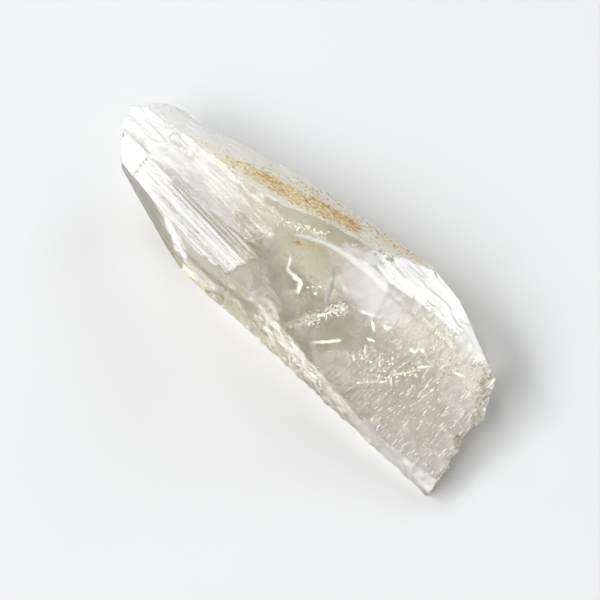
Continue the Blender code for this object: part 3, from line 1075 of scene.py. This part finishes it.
# Swarms of small flakes: start and end of the line they lie about, half-width, count and size.
# The last lies under the saddle, so its flakes lean another way.
SWARMS = [
    ((7.4, -10.0, 10.0), (10.5, -2.3, 9.3), 0.9, 170, 0.34),
    ((14.5, -8.0, 7.4), (20.5, -3.0, 6.8), 1.6, 70, 0.26),
    ((18.5, -9.5, 6.4), (25.0, 0.5, 6.2), 1.3, 60, 0.26),
    ((4.0, -5.0, 11.0), (9.5, 0.5, 10.2), 2.0, 45, 0.26),
    ((23.0, 2.5, 6.6), (29.0, 4.0, 5.6), 1.3, 60, 0.28),
    ((-4.8, -0.9, 13.9), (1.4, 2.6, 12.9), 0.9, 80, 0.28, (-0.14, 0.22, 0.07)),
]


def crack_facing(spot, tilt):
    """The direction that a crack's wall is square to: it leans with the bowl above it."""
    leaning = Vector((0.095 - 0.0033 * spot.x, -0.405 - 0.0165 * spot.y, 0.92))
    return (leaning + Vector(tilt)).normalized()


def plate(mesh, spot, facing, run, half_length, half_width):
    """A thin closed flake, pointed at its rim, that lies square to its facing."""
    first = (run - facing * run.dot(facing)).normalized()
    second = facing.cross(first)
    rim = [first * half_length, second * half_width, -first * half_length, -second * half_width]
    rim = [mesh.verts.new((spot + corner) * MM) for corner in rim]
    poles = [mesh.verts.new((spot + facing * t) * MM) for t in (PLATE_HALF, -PLATE_HALF)]
    for k in range(4):
        for pole in poles:
            mesh.faces.new((rim[k], rim[k - 3], pole))


def crack(mesh, rng, line, half_width, turned=0.0):
    """A row of plates along a line, smaller towards its ends."""
    line = np.array(line)
    run = np.diff(line, axis=0)
    reach = np.concatenate(([0], np.cumsum(np.linalg.norm(run, axis=1))))
    count = int(reach[-1] / PLATE_STEP) + 2
    for n in range(count):
        place = reach[-1] * n / (count - 1)
        spot = Vector([np.interp(place, reach, line[:, k]) for k in range(3)])
        leg = min(np.searchsorted(reach, place, side="right") - 1, len(run) - 1)
        size = half_width * rng.uniform(0.7, 1.2) * (0.5 if n in (0, count - 1) else 1)
        facing = crack_facing(spot, rng.normal(0, 0.03, 3) + (turned, 0, 0))
        plate(mesh, spot, facing, Vector(run[leg]), PLATE_STEP * 1.2, size)


def crack_swarm(mesh, rng, start, end, half_width, count, size, lean=(0, 0, 0)):
    """Small thin flakes scattered about a line, each turned its own way."""
    start, end = Vector(start), Vector(end)
    for _ in range(count):
        spot = start.lerp(end, rng.random())
        spot += Vector(rng.normal(0, half_width / 2, 3) * (1, 1, 0.3))
        facing = crack_facing(spot, rng.normal(0, 0.09, 3) + lean)
        run = Vector(rng.normal(0, 1, 3))
        plate(mesh, spot, facing, run, size * rng.uniform(0.5, 1.2), size * rng.uniform(0.2, 0.5))


# ---- pieces

# The side of a grid cell, in mm.
CELL = 0.235
# Edges between facets that turn by more than this are drawn sharp.
SHARP_FROM = math.radians(28)


def link_object(name, data):
    obj = bpy.data.objects.new(name, data)
    bpy.context.scene.collection.objects.link(obj)
    return obj


def set_attribute(mesh, name, values):
    kind, field = ("FLOAT", "value") if values.ndim == 1 else ("FLOAT_VECTOR", "vector")
    layer = mesh.attributes.new(name, kind, "POINT")
    layer.data.foreach_set(field, np.ascontiguousarray(values, np.float32).ravel())


def make_crystal():
    low, high = np.array((cad_low, cad_high)) / MM
    vertices, quads = contour(low, high, CELL)
    vertices = np.clip(vertices, low, high)
    mesh = bpy.data.meshes.new("quartz")
    mesh.from_pydata((vertices * MM).tolist(), [], quads.tolist())
    mesh.validate()
    mesh.shade_smooth()
    mesh.set_sharp_from_angle(angle=SHARP_FROM)

    region = region_fields(vertices).argmax(axis=1)
    frost, white_and_glint, grained = np.array([LOOKS[name] for name in REGIONS])[region].T
    lined = np.array([LINED.get(name, 0.0) for name in REGIONS])[region]
    values = {
        "frost": frost_at(vertices, region, frost),
        "white_and_glint": white_and_glint_at(vertices, region, white_and_glint),
        "grained": grained,
        "lined": np.maximum(lined, on_shelf(vertices)),
        "haze_and_highlight": haze_and_highlight_at(vertices, region),
        "strip": strip("striated", vertices) * MM,
        "stain": stain_at(vertices, region),
        "painted_shade": painted_shade_at(vertices, region),
        "hackled": on(region, *BOWLS) * (0.12 + 0.75 * run_out(vertices)),
    }
    for name, value in values.items():
        set_attribute(mesh, name, value)
    mesh.materials.append(quartz_material())
    crystal = link_object("quartz", mesh)
    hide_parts("quartz_crystal")
    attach(crystal, "root")


def make_cracks():
    mesh = bpy.data.meshes.new("inner_cracks")
    plates = bmesh.new()
    rng = np.random.default_rng(CRACK_SEED)
    for row in CRACKS:
        crack(plates, rng, *row)
    for swarm in SWARMS:
        crack_swarm(plates, rng, *swarm)
    bmesh.ops.recalc_face_normals(plates, faces=plates.faces)
    plates.to_mesh(mesh)
    plates.free()
    mesh.materials.append(crack_material())
    cracks = link_object("inner_cracks", mesh)
    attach(cracks, "root")


# In metres: half the table's side, and the gap that keeps it from lying in the underside's plane.
TABLE_HALF, TABLE_GAP = 1.5, 0.00005


def make_table():
    mesh = bpy.data.meshes.new("table")
    turns = ((-1, -1), (1, -1), (1, 1), (-1, 1))
    corners = [(x * TABLE_HALF, y * TABLE_HALF, -TABLE_GAP) for x, y in turns]
    mesh.from_pydata(corners, [], [(0, 1, 2, 3)])
    mesh.materials.append(table_material())
    link_object("table", mesh)


# ---- camera and light

LIGHT_DISTANCE = 2.0
LIGHT_TARGET = Vector((0, 0, 0.005))
# Scales every light, so that the table comes out as bright as a sheet of paper.
EXPOSURE = 0.700
CAMERA_AZIMUTH, CAMERA_ELEVATION = 45.0, 62.0
CAMERA_DISTANCE = 0.320
CAMERA_TARGET = Vector((0.0038, -0.0048, 0.006))
PIXELS_PER_METRE, PICTURE_WIDTH, SENSOR_WIDTH = 6770.0, 600, 36.0


def heading(azimuth, elevation):
    """Unit vector towards a place round the object: azimuth 0 is -Y and 90 is +X."""
    a, e = math.radians(azimuth), math.radians(elevation)
    return Vector((math.sin(a) * math.cos(e), -math.cos(a) * math.cos(e), math.sin(e)))


def aim(obj, towards):
    obj.rotation_mode = "QUATERNION"
    obj.rotation_quaternion = (obj.location - towards).to_track_quat("Z", "Y")


def make_camera():
    data = bpy.data.cameras.new("camera")
    data.sensor_width = SENSOR_WIDTH
    data.lens = SENSOR_WIDTH * PIXELS_PER_METRE * CAMERA_DISTANCE / PICTURE_WIDTH
    camera = link_object("camera", data)
    camera.location = CAMERA_TARGET + heading(CAMERA_AZIMUTH, CAMERA_ELEVATION) * CAMERA_DISTANCE
    aim(camera, CAMERA_TARGET)
    bpy.context.scene.camera = camera


def area_light(name, azimuth, elevation, wide, high, radiance, colour):
    """A soft box round the crystal, that many degrees wide and high as the crystal sees it."""
    data = bpy.data.lights.new(name, "AREA")
    data.shape = "RECTANGLE"
    data.size = 2 * LIGHT_DISTANCE * math.tan(math.radians(wide / 2))
    data.size_y = 2 * LIGHT_DISTANCE * math.tan(math.radians(high / 2))
    data.energy = EXPOSURE * radiance * math.pi * data.size * data.size_y
    data.color = colour
    light = link_object(name, data)
    light.location = heading(azimuth, elevation) * LIGHT_DISTANCE
    aim(light, LIGHT_TARGET)


DAYLIGHT = (0.985, 0.99, 1.0)
# Name, azimuth, elevation, width and height in degrees, radiance and colour.
LIGHTS = [
    ("window", -47, 40, 46, 30, 3.7, DAYLIGHT),
    ("bright_pane", -63, 38, 20, 14, 11.5, DAYLIGHT),
    ("window_beside", -8, 34, 38, 26, 7.0, DAYLIGHT),
    ("side_window", -117, 34, 22, 18, 9.0, DAYLIGHT),
    ("back_window", -173, 22, 20, 14, 13.0, (0.86, 0.92, 1.0)),
    ("ceiling", 6, 66, 32, 26, 3.6, (0.975, 0.98, 1.0)),
    ("fill", 153, 33, 28, 18, 2.3, (1.0, 0.96, 0.88)),
]
ROOM_COLOUR, ROOM_STRENGTH = (0.95, 0.97, 1.0, 1), 0.10


def make_light():
    for row in LIGHTS:
        area_light(*row)
    world = bpy.data.worlds.new("room")
    world.use_nodes = True
    background = world.node_tree.nodes["Background"]
    background.inputs["Color"].default_value = ROOM_COLOUR
    background.inputs["Strength"].default_value = ROOM_STRENGTH * EXPOSURE
    bpy.context.scene.world = world


make_camera()
make_light()
make_table()
make_crystal()
make_cracks()

scene = bpy.context.scene
scene.view_settings.view_transform = "Standard"
# The glass stays sharp for light that falls through it onto the table.
scene.cycles.blur_glossy = 0.0
